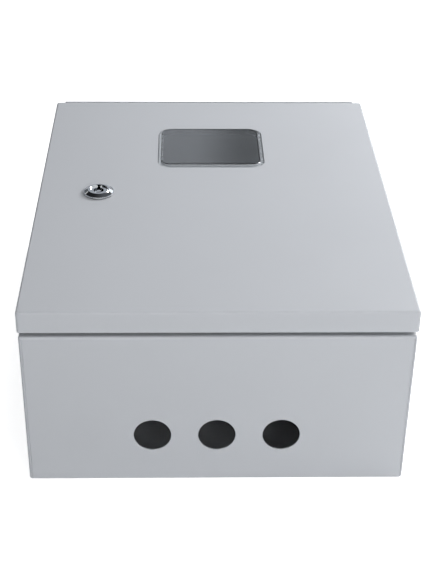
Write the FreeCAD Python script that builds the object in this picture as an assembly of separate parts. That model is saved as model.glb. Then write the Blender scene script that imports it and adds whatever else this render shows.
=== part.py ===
import FreeCAD, Part
import math
import os

from FreeCAD import Vector

# Electric meter box of folded sheet steel, lying on its back with the door up.
# X runs across the door, Y up the door, Z out of the door, in millimetres.
# The origin is the centre of the back face.

# Case and door
door_width = 310.0
door_length = 395.0
case_depth = 165.0          # back face to the face of the door
door_overhang = 0.6         # the door stands out this far beyond the body, all round
sheet = 1.2                 # body sheet
bend_inner = 1.2            # inside radius of the body's folds
corner_radius = 2.0         # outside radius of the body's upright corners
door_sheet = 1.2
door_bend_inner = 0.8
door_corner_radius = 2.4
door_flange = 18.5          # depth of the door's folded edge
front_gap = 4.3             # from the door's folded edge to the body's shoulder

# Gutter, lip and door gasket
gutter_width = 14.0         # from the body's side to the outside of the lip
gasket_width = 10.0
gasket_height = 8.0
gasket_corner_radius = 8.0
gasket_clearance = 0.3      # the foam just clears the lip

# Seams of the end walls
seam_inset = 2.2            # from the body's side to the seam
seam_groove_radius = 0.6

# Holes in the body
cable_hole_radius = 15.2
cable_hole_pitch = 52.2
cable_hole_height = 46.2    # from the back face
cable_hole_count = 3
wall_hole_radius = 4.25
wall_hole_inset = 29.4      # from the body's sides and ends

# Drip rail behind the top edge of the door
rail_end_inset = 8.0        # from the door's sides to the rail's ends
rail_sheet = 1.2
rail_seat = 22.0            # height of the strip that is welded to the top wall
rail_seat_from_shoulder = 3.0
rail_door_gap = 0.8
rail_drop = 0.2             # below the face of the door
rail_end_radius = 1.6

# Mounting plate and its studs
plate_side_gap = 25.2       # from the plate to the side walls
plate_top_gap = 35.7        # from the plate to the top wall
plate_bottom_gap = 78.0     # room for cables below the plate
plate_sheet = 2.0
plate_corner_radius = 4.0
plate_standoff = 10.8       # height of the stud collars above the back wall
plate_stud_radius = 3.0
plate_stud_length = 21.0
plate_stud_inset = 12.0     # from the plate's edges to the studs
collar_radius = 6.0
stud_hole_clearance = 0.3
meter_slot_width = 5.5
meter_slot_length = 30.0
meter_slot_span_x = 110.0
meter_slot_span_y = 144.0
meter_slot_inset = 24.0     # from the plate's top edge to the middle of the top slot

# Nuts and washers, small metric sizes
nut_flats = 10.0
nut_height = 5.0
nut_flange_radius = 6.2
nut_flange_height = 1.2
thread_clearance = 0.05     # between a stud and the thread of its nut
washer_radius = 6.0
washer_height = 1.6
screw_slot_width = 1.4
screw_slot_depth = 1.4
screw_chamfer = 0.8

# Terminal rail on the plate
din_end_inset = 13.0        # from the plate's sides to the rail's ends
din_width = 35.0
din_channel = 25.0          # inside width of the channel
din_height = 7.5
din_sheet = 1.0
din_bend_inner = 0.6
din_inset = 43.7            # from the plate's bottom edge to the middle of the rail
din_slot_length = 15.0
din_slot_width = 6.2
din_slot_pitch = 25.0
din_slot_margin = 5.0       # least metal between the last slot and the rail's end
din_screw_radius = 2.5
din_screw_head_radius = 4.6
din_screw_head_height = 3.0
din_screw_length = 8.0

# Earth studs
earth_stud_radius = 3.0
earth_stud_length = 18.0
earth_stud_inset = 46.4     # from the body's side
door_earth_side_inset = 95.0
door_earth_end_inset = 32.5
door_earth_stud_length = 14.0

# Window
window_width = 99.4
window_length = 84.6
window_corner_radius = 13.0
window_x = -0.8
window_top_inset = 64.6     # from the door's top edge to the cut-out
pane_clearance = 0.3        # between the pane and the edge of the cut-out
pane_proud = 1.8
pane_ledge = 2.6            # width of the ledge round the raised part of the pane
pane_ledge_drop = 0.2       # below the face of the door
pane_wall = 4.6             # from the pane's side to its hollow
pane_top = 2.4
pane_edge_radius = 1.6
pane_flange = 12.0          # width of the flange behind the door
pane_flange_height = 2.0
pane_flange_corner_radius = 8.0
window_seal_height = 1.5
clamp_sheet = 1.5
window_stud_radius = 2.0
window_stud_length = 12.0
window_stud_inset = 6.0     # from the flange's outer edge
window_nut_flats = 7.0
window_nut_height = 3.2

# Cam lock
lock_side_inset = 53.2      # from the door's left edge to the lock's axis
lock_y = -1.6
lock_nut_chamfer = 1.0
bezel_radius = 13.5
bezel_height = 4.0          # above the door
bezel_foot = 0.8
bezel_foot_step = 0.7
bezel_top_radius = 9.9
bezel_edge = 0.4
lock_gasket_height = 0.9
lock_gasket_inset = 0.5
lock_thread_radius = 11.0
lock_flats = 20.2           # across the flats of the threaded body
lock_hole_clearance = 0.25
lock_depth = 20.0           # from the face of the door to the end of the threaded body
lock_nut_flats = 27.0
lock_nut_height = 5.0
barrel_radius = 7.9
barrel_clearance = 0.2
barrel_recess = 1.3
housing_floor = 2.0
shaft_radius = 5.0
keyway_radius = 4.5
keyway_depth = 9.0
key_pin_radius = 1.9
key_pin_recess = 0.8
bit_width = 2.6
cam_sheet = 2.5
cam_width = 16.0
cam_length = 43.5           # from the lock's axis to the tip
cam_tip_radius = 3.0
cam_clearance = 0.4         # below the shoulder that it locks under
cam_square = 7.0
cam_square_clearance = 0.1
cam_screw_radius = 2.4
cam_screw_head_radius = 4.6
cam_screw_head_height = 3.0
cam_screw_length = 10.0

# Concealed hinges in the right gutter
hinge_end_inset = 77.5      # from the door's ends to the middle of each hinge
hinge_axis_inset = 3.4      # from the inside of the door's edge to the pin
hinge_axis_drop = 13.0      # from the face of the door to the pin
hinge_sheet = 1.5
hinge_bend_inner = 0.8
hinge_pin_radius = 1.5
hinge_pin_clearance = 0.05
knuckle_length = 14.0
foot_length = 32.0
foot_edge_clearance = 2.4   # from the foot to the body's side
lug_clearance = 1.2
leaf_length = 34.0
leaf_edge_clearance = 0.7   # from the strip to the fold of the door's edge
leaf_notch_margin = 5.0     # from the pin up to the strip between the lugs
pin_reach = 1.0             # the pin's ends stand this far beyond the lugs

# Sizes that follow from those above
bend_outer = bend_inner + sheet
body_width = door_width - 2 * door_overhang
body_length = door_length - 2 * door_overhang
door_edge_z = case_depth - door_flange
door_inside_z = case_depth - door_sheet
shoulder_z = door_edge_z - front_gap
lip_width = body_width - 2 * gutter_width
lip_length = body_length - 2 * gutter_width
lip_top_z = door_inside_z - gasket_height - gasket_clearance
plate_width = body_width - 2 * (sheet + plate_side_gap)
plate_length = body_length - 2 * sheet - plate_top_gap - plate_bottom_gap
plate_y = (plate_bottom_gap - plate_top_gap) / 2
plate_z = sheet + plate_standoff
plate_top_z = plate_z + plate_sheet
din_length = plate_width - 2 * din_end_inset
din_y = plate_y - plate_length / 2 + din_inset
earth_stud_x = earth_stud_inset - body_width / 2
earth_stud_y = (plate_bottom_gap - body_length) / 2 + sheet
door_earth_x = door_earth_side_inset - door_width / 2
door_earth_y = door_earth_end_inset - door_length / 2
window_y = (door_length - window_length) / 2 - window_top_inset
lock_x = lock_side_inset - door_width / 2
hinge_y = door_length / 2 - hinge_end_inset
flange_width = window_width + 2 * pane_flange
flange_length = window_length + 2 * pane_flange
hinge_x = door_width / 2 - door_sheet - hinge_axis_inset
hinge_z = case_depth - hinge_axis_drop
knuckle_radius = hinge_pin_radius + hinge_pin_clearance + hinge_sheet
cam_top_z = shoulder_z - sheet - cam_clearance
tiny = 0.001


def cylinder(x, y, z0, z1, radius):
    return Part.makeCylinder(radius, z1 - z0, Vector(x, y, z0))


def box(x0, x1, y0, y1, z0, z1):
    return Part.makeBox(x1 - x0, y1 - y0, z1 - z0, Vector(x0, y0, z0))


def block(width, length, z0, z1, x=0.0, y=0.0):
    return box(x - width / 2, x + width / 2, y - length / 2, y + length / 2, z0, z1)


def rounded_prism(width, length, radius, z0, z1, x=0.0, y=0.0):
    # A block with rounded upright edges, centred on x, y.
    plain = block(width, length, z0, z1, x, y)
    upright = [e for e in plain.Edges if e.BoundBox.ZLength > (z1 - z0) / 2]
    return plain.makeFillet(radius, upright)


def level_edges(shape, z, half_width=math.inf, half_length=math.inf):
    # The level edges at height z that lie within the half sizes.
    found = []
    for edge in shape.Edges:
        bounds = edge.BoundBox
        level = abs(bounds.ZMin - z) < tiny and abs(bounds.ZMax - z) < tiny
        across = max(bounds.XMax, -bounds.XMin) < half_width + tiny
        along = max(bounds.YMax, -bounds.YMin) < half_length + tiny
        if level and across and along:
            found.append(edge)
    return found


def hex_prism(x, y, z0, z1, flats):
    corners = []
    for step in range(7):
        angle = math.radians(60 * step)
        reach = flats / math.sqrt(3)
        corners.append(Vector(x + reach * math.cos(angle), y + reach * math.sin(angle), z0))
    return Part.Face(Part.makePolygon(corners)).extrude(Vector(0, 0, z1 - z0))


def hex_nut(x, y, z0, z1, flats, bore):
    return hex_prism(x, y, z0, z1, flats).cut(cylinder(x, y, z0, z1, bore))


def flange_nut(x, y, z, stud_radius):
    # A nut with a round flange under it, seated at height z.
    bore = stud_radius + thread_clearance
    flange = cylinder(x, y, z, z + nut_flange_height, nut_flange_radius)
    flange = flange.cut(cylinder(x, y, z, z + nut_flange_height, bore))
    return flange.fuse(hex_nut(x, y, z + nut_flange_height, z + nut_height, nut_flats, bore))


def pan_screw(x, y, z, shank_radius, length, head_radius, head_height):
    # A pan-head screw with its head on a face at height z, driven down through it.
    head = cylinder(x, y, z, z + head_height, head_radius)
    head = head.makeChamfer(screw_chamfer, level_edges(head, z + head_height))
    head = head.cut(box(x - head_radius, x + head_radius, y - screw_slot_width / 2,
                        y + screw_slot_width / 2, z + head_height - screw_slot_depth, z + head_height))
    return head.fuse(cylinder(x, y, z - length, z, shank_radius))


def folded_section(points, thickness, inner_radius, normal):
    # The section of a folded strip along a middle line of points, in the plane of the normal.
    middle_radius = inner_radius + thickness / 2
    left, right = [], []
    sides = {1: left, -1: right}
    ahead = (points[1] - points[0]).normalize()
    first = {side: points[0] + normal.cross(ahead) * side * thickness / 2 for side in sides}
    starts = dict(first)
    for before, corner, after in zip(points, points[1:], points[2:]):
        into = (corner - before).normalize()
        out = (after - corner).normalize()
        hand = math.copysign(1, normal.dot(into.cross(out)))
        trim = middle_radius * math.tan(into.getAngle(out) / 2)
        centre = corner - into * trim + normal.cross(into) * hand * middle_radius
        for side in sides:
            radius = middle_radius - hand * side * thickness / 2
            spoke_in = normal.cross(into) * -hand * radius
            spoke_out = normal.cross(out) * -hand * radius
            spoke_middle = (spoke_in + spoke_out).normalize() * radius
            sides[side].append(Part.makeLine(starts[side], centre + spoke_in))
            arc = Part.Arc(centre + spoke_in, centre + spoke_middle, centre + spoke_out)
            sides[side].append(arc.toShape())
            starts[side] = centre + spoke_out
    ahead = (points[-1] - points[-2]).normalize()
    ends = {side: points[-1] + normal.cross(ahead) * side * thickness / 2 for side in sides}
    for side in sides:
        sides[side].append(Part.makeLine(starts[side], ends[side]))
    caps = [Part.makeLine(ends[1], ends[-1]), Part.makeLine(first[-1], first[1])]
    return Part.Face(Part.Wire(Part.sortEdges(left + right + caps)[0]))


def body_shell():
    # The whole body before it is divided: walls, back, shoulder and upstanding lip.
    outer = rounded_prism(body_width, body_length, corner_radius, 0, shoulder_z)
    outer = outer.makeFillet(bend_outer, level_edges(outer, 0) + level_edges(outer, shoulder_z))
    inside_top = shoulder_z - sheet
    inner = block(body_width - 2 * sheet, body_length - 2 * sheet, sheet, inside_top)
    inner = inner.makeFillet(bend_inner, level_edges(inner, sheet) + level_edges(inner, inside_top))
    lip = block(lip_width, lip_length, inside_top, lip_top_z)
    mouth_width = lip_width - 2 * sheet
    mouth_length = lip_length - 2 * sheet
    mouth = block(mouth_width, mouth_length, inside_top - sheet, lip_top_z + sheet)
    shell = outer.cut(inner).fuse(lip).cut(mouth).removeSplitter()
    hollow_fold = level_edges(shell, shoulder_z, lip_width / 2, lip_length / 2)
    shell = shell.makeFillet(bend_inner, hollow_fold)
    round_fold = level_edges(shell, inside_top, mouth_width / 2, mouth_length / 2)
    return shell.makeFillet(bend_outer, round_fold)


def end_region(side):
    # The space of one end wall: between the side seams, with mitred ends at the shoulder.
    seam_x = body_width / 2 - seam_inset
    seam_y = body_length / 2 - seam_inset
    run = gutter_width + 2 * sheet
    beyond = body_length / 2 + sheet
    outline = [(-seam_x, beyond), (seam_x, beyond), (seam_x, seam_y),
               (seam_x - run, seam_y - run), (run - seam_x, seam_y - run), (-seam_x, seam_y)]
    corners = [Vector(x, side * y, bend_outer) for x, y in outline + outline[:1]]
    height = lip_top_z + sheet - bend_outer
    return Part.Face(Part.makePolygon(corners)).extrude(Vector(0, 0, height))


def seam_grooves(side):
    # The ground-down welds at the two seams of an end wall.
    y = side * body_length / 2
    grooves = [cylinder(sign * (body_width / 2 - seam_inset), y, bend_outer,
                        shoulder_z - bend_outer, seam_groove_radius) for sign in (-1, 1)]
    return grooves[0].fuse(grooves[1])


def end_panel(shell, side):
    return shell.common(end_region(side)).cut(seam_grooves(side))


def body_wrap(shell):
    # Both side walls and the back, folded from one sheet, with the four wall holes.
    wrap = shell
    for side in (-1, 1):
        wrap = wrap.cut(end_region(side)).cut(seam_grooves(side))
    reach_x = body_width / 2 - wall_hole_inset
    reach_y = body_length / 2 - wall_hole_inset
    for x in (-reach_x, reach_x):
        for y in (-reach_y, reach_y):
            wrap = wrap.cut(cylinder(x, y, -sheet, 2 * sheet, wall_hole_radius))
    return wrap


def bottom_panel(shell):
    # The end wall with the row of round cable holes.
    panel = end_panel(shell, -1)
    first = -(cable_hole_count - 1) / 2 * cable_hole_pitch
    for number in range(cable_hole_count):
        centre = Vector(first + number * cable_hole_pitch, -body_length / 2 - sheet, cable_hole_height)
        hole = Part.makeCylinder(cable_hole_radius, 3 * sheet, centre, Vector(0, 1, 0))
        panel = panel.cut(hole)
    return panel


def drip_rail():
    # A joggled strip welded to the top wall, whose edge stands just behind the door.
    wall_y = body_length / 2 + rail_sheet / 2
    edge_y = door_length / 2 + rail_door_gap + rail_sheet / 2
    seat_top = shoulder_z - rail_seat_from_shoulder
    joggle = 2 * (edge_y - wall_y)
    line = [Vector(0, wall_y, seat_top - rail_seat), Vector(0, wall_y, seat_top),
            Vector(0, edge_y, seat_top + joggle), Vector(0, edge_y, case_depth - rail_drop)]
    section = folded_section(line, rail_sheet, bend_inner, Vector(1, 0, 0))
    rail_length = door_width - 2 * rail_end_inset
    section.translate(Vector(-rail_length / 2, 0, 0))
    strip = section.extrude(Vector(rail_length, 0, 0))
    corners = []
    for edge in strip.Edges:
        bounds = edge.BoundBox
        if bounds.YLength > rail_sheet / 2 and bounds.XLength < tiny and bounds.ZLength < tiny:
            corners.append(edge)
    return strip.makeFillet(rail_end_radius, corners)


def plate_stud_places():
    reach_x = plate_width / 2 - plate_stud_inset
    reach_y = plate_length / 2 - plate_stud_inset
    return [(x, plate_y + y) for x in (-reach_x, reach_x) for y in (-reach_y, reach_y)]


def plate_studs():
    # Each stud has a collar that the plate rests on.
    solids = []
    for x, y in plate_stud_places():
        collar = cylinder(x, y, sheet, plate_z, collar_radius)
        shank = cylinder(x, y, plate_z, sheet + plate_stud_length, plate_stud_radius)
        solids.append(collar.fuse(shank))
    return Part.makeCompound(solids)


def slot(x, y, z0, z1, length, width, along_x=True):
    # A slot with round ends, centred on x, y.
    size = (length, width) if along_x else (width, length)
    return rounded_prism(size[0], size[1], width / 2 - tiny, z0, z1, x, y)


def mounting_plate():
    # Flat plate with stud holes, three slots for the meter and holes for the rail's screws.
    plate = rounded_prism(plate_width, plate_length, plate_corner_radius, plate_z, plate_top_z,
                          y=plate_y)
    for x, y in plate_stud_places():
        plate = plate.cut(cylinder(x, y, plate_z, plate_top_z, plate_stud_radius + stud_hole_clearance))
    top_y = plate_y + plate_length / 2 - meter_slot_inset
    plate = plate.cut(slot(window_x, top_y, plate_z, plate_top_z,
                           meter_slot_length, meter_slot_width, along_x=False))
    for side in (-0.5, 0.5):
        plate = plate.cut(slot(window_x + side * meter_slot_span_x, top_y - meter_slot_span_y,
                               plate_z, plate_top_z, meter_slot_length, meter_slot_width))
    for x in din_screw_places():
        plate = plate.cut(cylinder(x, din_y, plate_z, plate_top_z, din_screw_radius + thread_clearance))
    return plate


def plate_nuts():
    return Part.makeCompound([flange_nut(x, y, plate_top_z, plate_stud_radius)
                              for x, y in plate_stud_places()])


def din_slot_places():
    # As many slots as the rail has room for, centred along it.
    room = din_length - din_slot_length - 2 * din_slot_margin
    gaps = int(room // din_slot_pitch)
    return [(number - gaps / 2) * din_slot_pitch for number in range(gaps + 1)]


def din_screw_places():
    # The screws sit in the outermost slots.
    places = din_slot_places()
    return [places[0], places[-1]]


def din_rail():
    # Top-hat rail for terminals and breakers, with a row of slots in its channel.
    base_z = plate_top_z + din_sheet / 2
    brim_z = plate_top_z + din_height - din_sheet / 2
    wall = din_channel / 2 + din_sheet / 2
    brim = din_width / 2
    profile = [(-brim, brim_z), (-wall, brim_z), (-wall, base_z),
               (wall, base_z), (wall, brim_z), (brim, brim_z)]
    line = [Vector(0, din_y + y, z) for y, z in profile]
    section = folded_section(line, din_sheet, din_bend_inner, Vector(1, 0, 0))
    section.translate(Vector(-din_length / 2, 0, 0))
    rail = section.extrude(Vector(din_length, 0, 0))
    for x in din_slot_places():
        rail = rail.cut(slot(x, din_y, plate_top_z, plate_top_z + din_sheet,
                             din_slot_length, din_slot_width))
    return rail


def rail_screws():
    return Part.makeCompound([pan_screw(x, din_y, plate_top_z + din_sheet, din_screw_radius,
                                        din_screw_length, din_screw_head_radius,
                                        din_screw_head_height) for x in din_screw_places()])


def earth_washer():
    washer = cylinder(earth_stud_x, earth_stud_y, sheet, sheet + washer_height, washer_radius)
    return washer.cut(cylinder(earth_stud_x, earth_stud_y, sheet, sheet + washer_height,
                               earth_stud_radius + stud_hole_clearance))


def door_panel():
    # The door: a tray with its edge folded down all round, cut out for window and lock.
    outer = rounded_prism(door_width, door_length, door_corner_radius, door_edge_z, case_depth)
    outer = outer.makeFillet(door_bend_inner + door_sheet, level_edges(outer, case_depth))
    inner = block(door_width - 2 * door_sheet, door_length - 2 * door_sheet,
                  door_edge_z - door_sheet, door_inside_z)
    inner = inner.makeFillet(door_bend_inner, level_edges(inner, door_inside_z))
    panel = outer.cut(inner)
    panel = panel.cut(rounded_prism(window_width, window_length, window_corner_radius,
                                    door_inside_z, case_depth, window_x, window_y))
    return panel.cut(lock_body(door_inside_z, case_depth, lock_hole_clearance))


def door_gasket():
    # One bead of foam inside the door, over the lip.
    middle_width = lip_width - sheet
    middle_length = lip_length - sheet
    low = door_inside_z - gasket_height
    outer = rounded_prism(middle_width + gasket_width, middle_length + gasket_width,
                          gasket_corner_radius, low, door_inside_z)
    inner = rounded_prism(middle_width - gasket_width, middle_length - gasket_width,
                          gasket_corner_radius / 2, low, door_inside_z)
    return outer.cut(inner)


def window_stud_places():
    reach_x = flange_width / 2 - window_stud_inset
    reach_y = flange_length / 2 - window_stud_inset
    return [(window_x + x, window_y + y) for x in (-reach_x, reach_x) for y in (-reach_y, reach_y)]


def window_frame(z0, z1, inner_width, inner_length, inner_radius):
    # A flat frame round the window with a hole for each stud.
    frame = rounded_prism(flange_width, flange_length, pane_flange_corner_radius,
                          z0, z1, window_x, window_y)
    frame = frame.cut(rounded_prism(inner_width, inner_length, inner_radius,
                                    z0, z1, window_x, window_y))
    for x, y in window_stud_places():
        frame = frame.cut(cylinder(x, y, z0, z1, window_stud_radius + stud_hole_clearance))
    return frame


def window_seal():
    return window_frame(door_inside_z - window_seal_height, door_inside_z,
                        window_width, window_length, window_corner_radius)


def window_pane():
    # Clear moulded pane: a ledge that fills the cut-out, a raised pan that stands proud of the
    # door inside it, and a flange that is held behind the door.
    top = door_inside_z - window_seal_height
    low = top - pane_flange_height
    pan_width = window_width - 2 * pane_clearance
    pan_length = window_length - 2 * pane_clearance
    pan_radius = window_corner_radius - pane_clearance
    face_z = case_depth + pane_proud
    ledge = rounded_prism(pan_width, pan_length, pan_radius, low, case_depth - pane_ledge_drop,
                          window_x, window_y)
    pan = rounded_prism(pan_width - 2 * pane_ledge, pan_length - 2 * pane_ledge,
                        pan_radius - pane_ledge, low, face_z, window_x, window_y)
    pan = pan.makeFillet(pane_edge_radius, level_edges(pan, face_z))
    flange = window_frame(low, top, pan_width, pan_length, pan_radius)
    hollow = rounded_prism(pan_width - 2 * pane_wall, pan_length - 2 * pane_wall,
                           pan_radius - pane_wall, low, face_z - pane_top, window_x, window_y)
    return pan.fuse([ledge, flange]).removeSplitter().cut(hollow)


def clamp_top_z():
    return door_inside_z - window_seal_height - pane_flange_height


def window_clamp():
    opening = 2 * (pane_clearance + pane_wall)
    return window_frame(clamp_top_z() - clamp_sheet, clamp_top_z(), window_width - opening,
                        window_length - opening, window_corner_radius - opening / 2)


def window_studs():
    low = door_inside_z - window_stud_length
    return Part.makeCompound([cylinder(x, y, low, door_inside_z, window_stud_radius)
                              for x, y in window_stud_places()])


def window_nuts():
    seat = clamp_top_z() - clamp_sheet
    return Part.makeCompound([hex_nut(x, y, seat - window_nut_height, seat, window_nut_flats,
                                      window_stud_radius + thread_clearance)
                              for x, y in window_stud_places()])


def door_earth_nut():
    # Seated against the inside of the door.
    nut = flange_nut(door_earth_x, door_earth_y, 0, earth_stud_radius)
    nut = nut.mirror(Vector(0, 0, 0), Vector(0, 0, 1))
    nut.translate(Vector(0, 0, door_inside_z))
    return nut


def lock_body(z0, z1, clearance):
    # The threaded body of the lock with its two flats, or the hole for it.
    round_body = cylinder(lock_x, lock_y, z0, z1, lock_thread_radius + clearance)
    half_flats = lock_flats / 2 + clearance
    reach = lock_thread_radius + clearance
    return round_body.common(box(lock_x - half_flats, lock_x + half_flats,
                                 lock_y - reach, lock_y + reach, z0, z1))


def turned(profile):
    # A solid turned about the lock's axis from points of radius and height.
    corners = [Vector(lock_x + r, lock_y, z) for r, z in profile + profile[:1]]
    face = Part.Face(Part.makePolygon(corners))
    return face.revolve(Vector(lock_x, lock_y, 0), Vector(0, 0, 1), 360)


def lock_housing():
    # Conical bezel with a thin foot, threaded body, and a bore with a floor for the barrel.
    foot_z = case_depth + lock_gasket_height
    top_z = case_depth + bezel_height
    end_z = case_depth - lock_depth
    bezel = turned([(0, foot_z), (bezel_radius, foot_z), (bezel_radius, foot_z + bezel_foot),
                    (bezel_radius - bezel_foot_step, foot_z + bezel_foot),
                    (bezel_top_radius, top_z - bezel_edge), (bezel_top_radius - bezel_edge, top_z),
                    (0, top_z)])
    housing = bezel.fuse(lock_body(end_z, foot_z, 0))
    housing = housing.cut(cylinder(lock_x, lock_y, end_z + housing_floor, top_z,
                                   barrel_radius + barrel_clearance))
    return housing.cut(cylinder(lock_x, lock_y, end_z, top_z, shaft_radius + barrel_clearance))


def lock_gasket():
    outer = cylinder(lock_x, lock_y, case_depth, case_depth + lock_gasket_height,
                     bezel_radius - lock_gasket_inset)
    return outer.cut(cylinder(lock_x, lock_y, case_depth, case_depth + lock_gasket_height,
                              lock_thread_radius + lock_hole_clearance))


def lock_nut():
    # Ring nut, with its corners turned down on the side away from the door.
    low = door_inside_z - lock_nut_height
    blank = cylinder(lock_x, lock_y, low, door_inside_z, lock_nut_flats / math.sqrt(3))
    blank = blank.makeChamfer(lock_nut_chamfer, level_edges(blank, low))
    nut = hex_nut(lock_x, lock_y, low, door_inside_z, lock_nut_flats,
                  lock_thread_radius + thread_clearance)
    return nut.common(blank)


def lock_barrel():
    # Barrel with a ring keyway round a pin and one bit slot; a square end carries the cam.
    face_z = case_depth + bezel_height - barrel_recess
    floor_z = case_depth - lock_depth + housing_floor + barrel_clearance
    barrel = turned([(0, cam_top_z), (shaft_radius, cam_top_z), (shaft_radius, floor_z),
                     (barrel_radius, floor_z), (barrel_radius, face_z), (0, face_z)])
    half = cam_square / 2
    barrel = barrel.fuse(box(lock_x - half, lock_x + half, lock_y - half, lock_y + half,
                             cam_top_z - cam_sheet, cam_top_z))
    key_floor = face_z - keyway_depth
    keyway = cylinder(lock_x, lock_y, key_floor, face_z, keyway_radius)
    bit = box(lock_x - bit_width / 2, lock_x + bit_width / 2, lock_y,
              lock_y + barrel_radius, key_floor, face_z)
    pin = cylinder(lock_x, lock_y, key_floor, face_z - key_pin_recess, key_pin_radius)
    barrel = barrel.cut(keyway.fuse(bit)).fuse(pin)
    screw_hole = cylinder(lock_x, lock_y, cam_top_z - cam_sheet, cam_top_z - cam_sheet
                          + cam_screw_length + thread_clearance, cam_screw_radius + thread_clearance)
    return barrel.cut(screw_hole)


def lock_cam():
    # Flat arm on the square end; its tip points up the door when unlocked.
    half = cam_width / 2
    arm = box(lock_x - half, lock_x + half, lock_y, lock_y + cam_length, cam_top_z - cam_sheet, cam_top_z)
    tip = [e for e in arm.Edges if e.BoundBox.ZLength > cam_sheet / 2
           and e.BoundBox.YMin > lock_y + cam_length / 2]
    arm = arm.makeFillet(cam_tip_radius, tip)
    arm = arm.fuse(cylinder(lock_x, lock_y, cam_top_z - cam_sheet, cam_top_z, half))
    hole = cam_square / 2 + cam_square_clearance
    return arm.removeSplitter().cut(box(lock_x - hole, lock_x + hole, lock_y - hole, lock_y + hole,
                                        cam_top_z - cam_sheet, cam_top_z))


def cam_screw():
    # Driven up into the barrel's end, with its head under the cam.
    screw = pan_screw(lock_x, lock_y, 0, cam_screw_radius, cam_screw_length,
                      cam_screw_head_radius, cam_screw_head_height)
    screw = screw.mirror(Vector(0, 0, 0), Vector(0, 0, 1))
    screw.translate(Vector(0, 0, cam_top_z - cam_sheet))
    return screw


def along_y(section, y0, y1):
    section.translate(Vector(0, y0, 0))
    return section.extrude(Vector(0, y1 - y0, 0))


def hinge_pin_bore(y0, y1, radius):
    return Part.makeCylinder(radius, y1 - y0, Vector(hinge_x, y0, hinge_z), Vector(0, 1, 0))


def hinge_bracket(y):
    # Body side: a foot on the shoulder, a riser along the lip and an arm that curls round the pin.
    riser_x = lip_width / 2 + hinge_sheet / 2
    foot_z = shoulder_z + hinge_sheet / 2
    arm_z = hinge_z + knuckle_radius - hinge_sheet / 2
    foot_x = body_width / 2 - foot_edge_clearance
    line = [Vector(foot_x, 0, foot_z), Vector(riser_x, 0, foot_z),
            Vector(riser_x, 0, arm_z), Vector(hinge_x, 0, arm_z)]
    half = knuckle_length / 2
    section = folded_section(line, hinge_sheet, hinge_bend_inner, Vector(0, -1, 0))
    arm = along_y(section, y - half, y + half)
    foot_end = riser_x + hinge_sheet / 2 + hinge_bend_inner
    foot = box(foot_end, foot_x, y - foot_length / 2, y + foot_length / 2,
               shoulder_z, shoulder_z + hinge_sheet)
    knuckle = hinge_pin_bore(y - half, y + half, knuckle_radius)
    bracket = arm.fuse([foot, knuckle]).removeSplitter()
    return bracket.cut(hinge_pin_bore(y - half, y + half, hinge_pin_radius + hinge_pin_clearance))


def hinge_leaf(y):
    # Door side: a strip welded inside the door's edge, with two lugs folded down to the pin.
    wall_x = door_width / 2 - door_sheet
    strip_low = hinge_z + leaf_notch_margin
    high = door_inside_z - door_bend_inner - leaf_edge_clearance
    notch = knuckle_length / 2 + lug_clearance
    leaf = box(wall_x - hinge_sheet, wall_x, y - leaf_length / 2, y + leaf_length / 2, strip_low, high)
    for y0, y1 in ((y - notch - hinge_sheet, y - notch), (y + notch, y + notch + hinge_sheet)):
        eye = hinge_pin_bore(y0, y1, knuckle_radius)
        leaf = leaf.fuse([eye, box(hinge_x, wall_x, y0, y1, hinge_z - knuckle_radius, high)])
    bore = hinge_pin_bore(y - leaf_length / 2, y + leaf_length / 2, hinge_pin_radius + hinge_pin_clearance)
    return leaf.removeSplitter().cut(bore)


def hinge_pin(y):
    reach = knuckle_length / 2 + lug_clearance + hinge_sheet + pin_reach
    return hinge_pin_bore(y - reach, y + reach, hinge_pin_radius)


def all_pieces():
    shell = body_shell()
    pieces = {
        "body_wrap": body_wrap(shell),
        "bottom_panel": bottom_panel(shell),
        "top_panel": end_panel(shell, 1),
        "drip_rail": drip_rail(),
        "plate_studs": plate_studs(),
        "mounting_plate": mounting_plate(),
        "plate_nuts": plate_nuts(),
        "din_rail": din_rail(),
        "rail_screws": rail_screws(),
        "earth_stud": cylinder(earth_stud_x, earth_stud_y, sheet, sheet + earth_stud_length,
                               earth_stud_radius),
        "earth_washer": earth_washer(),
        "earth_nut": flange_nut(earth_stud_x, earth_stud_y, sheet + washer_height, earth_stud_radius),
        "door_panel": door_panel(),
        "door_gasket": door_gasket(),
        "window_seal": window_seal(),
        "window_pane": window_pane(),
        "window_clamp": window_clamp(),
        "window_studs": window_studs(),
        "window_nuts": window_nuts(),
        "door_earth_stud": cylinder(door_earth_x, door_earth_y,
                                    door_inside_z - door_earth_stud_length, door_inside_z,
                                    earth_stud_radius),
        "door_earth_nut": door_earth_nut(),
        "lock_housing": lock_housing(),
        "lock_gasket": lock_gasket(),
        "lock_nut": lock_nut(),
        "lock_barrel": lock_barrel(),
        "lock_cam": lock_cam(),
        "cam_screw": cam_screw(),
    }
    for name, y in (("lower", -hinge_y), ("upper", hinge_y)):
        pieces[name + "_hinge_bracket"] = hinge_bracket(y)
        pieces[name + "_hinge_leaf"] = hinge_leaf(y)
        pieces[name + "_hinge_pin"] = hinge_pin(y)
    return pieces


os.makedirs("parts", exist_ok=True)
for name, shape in all_pieces().items():
    shape.exportStep("parts/" + name + ".step")
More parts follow.
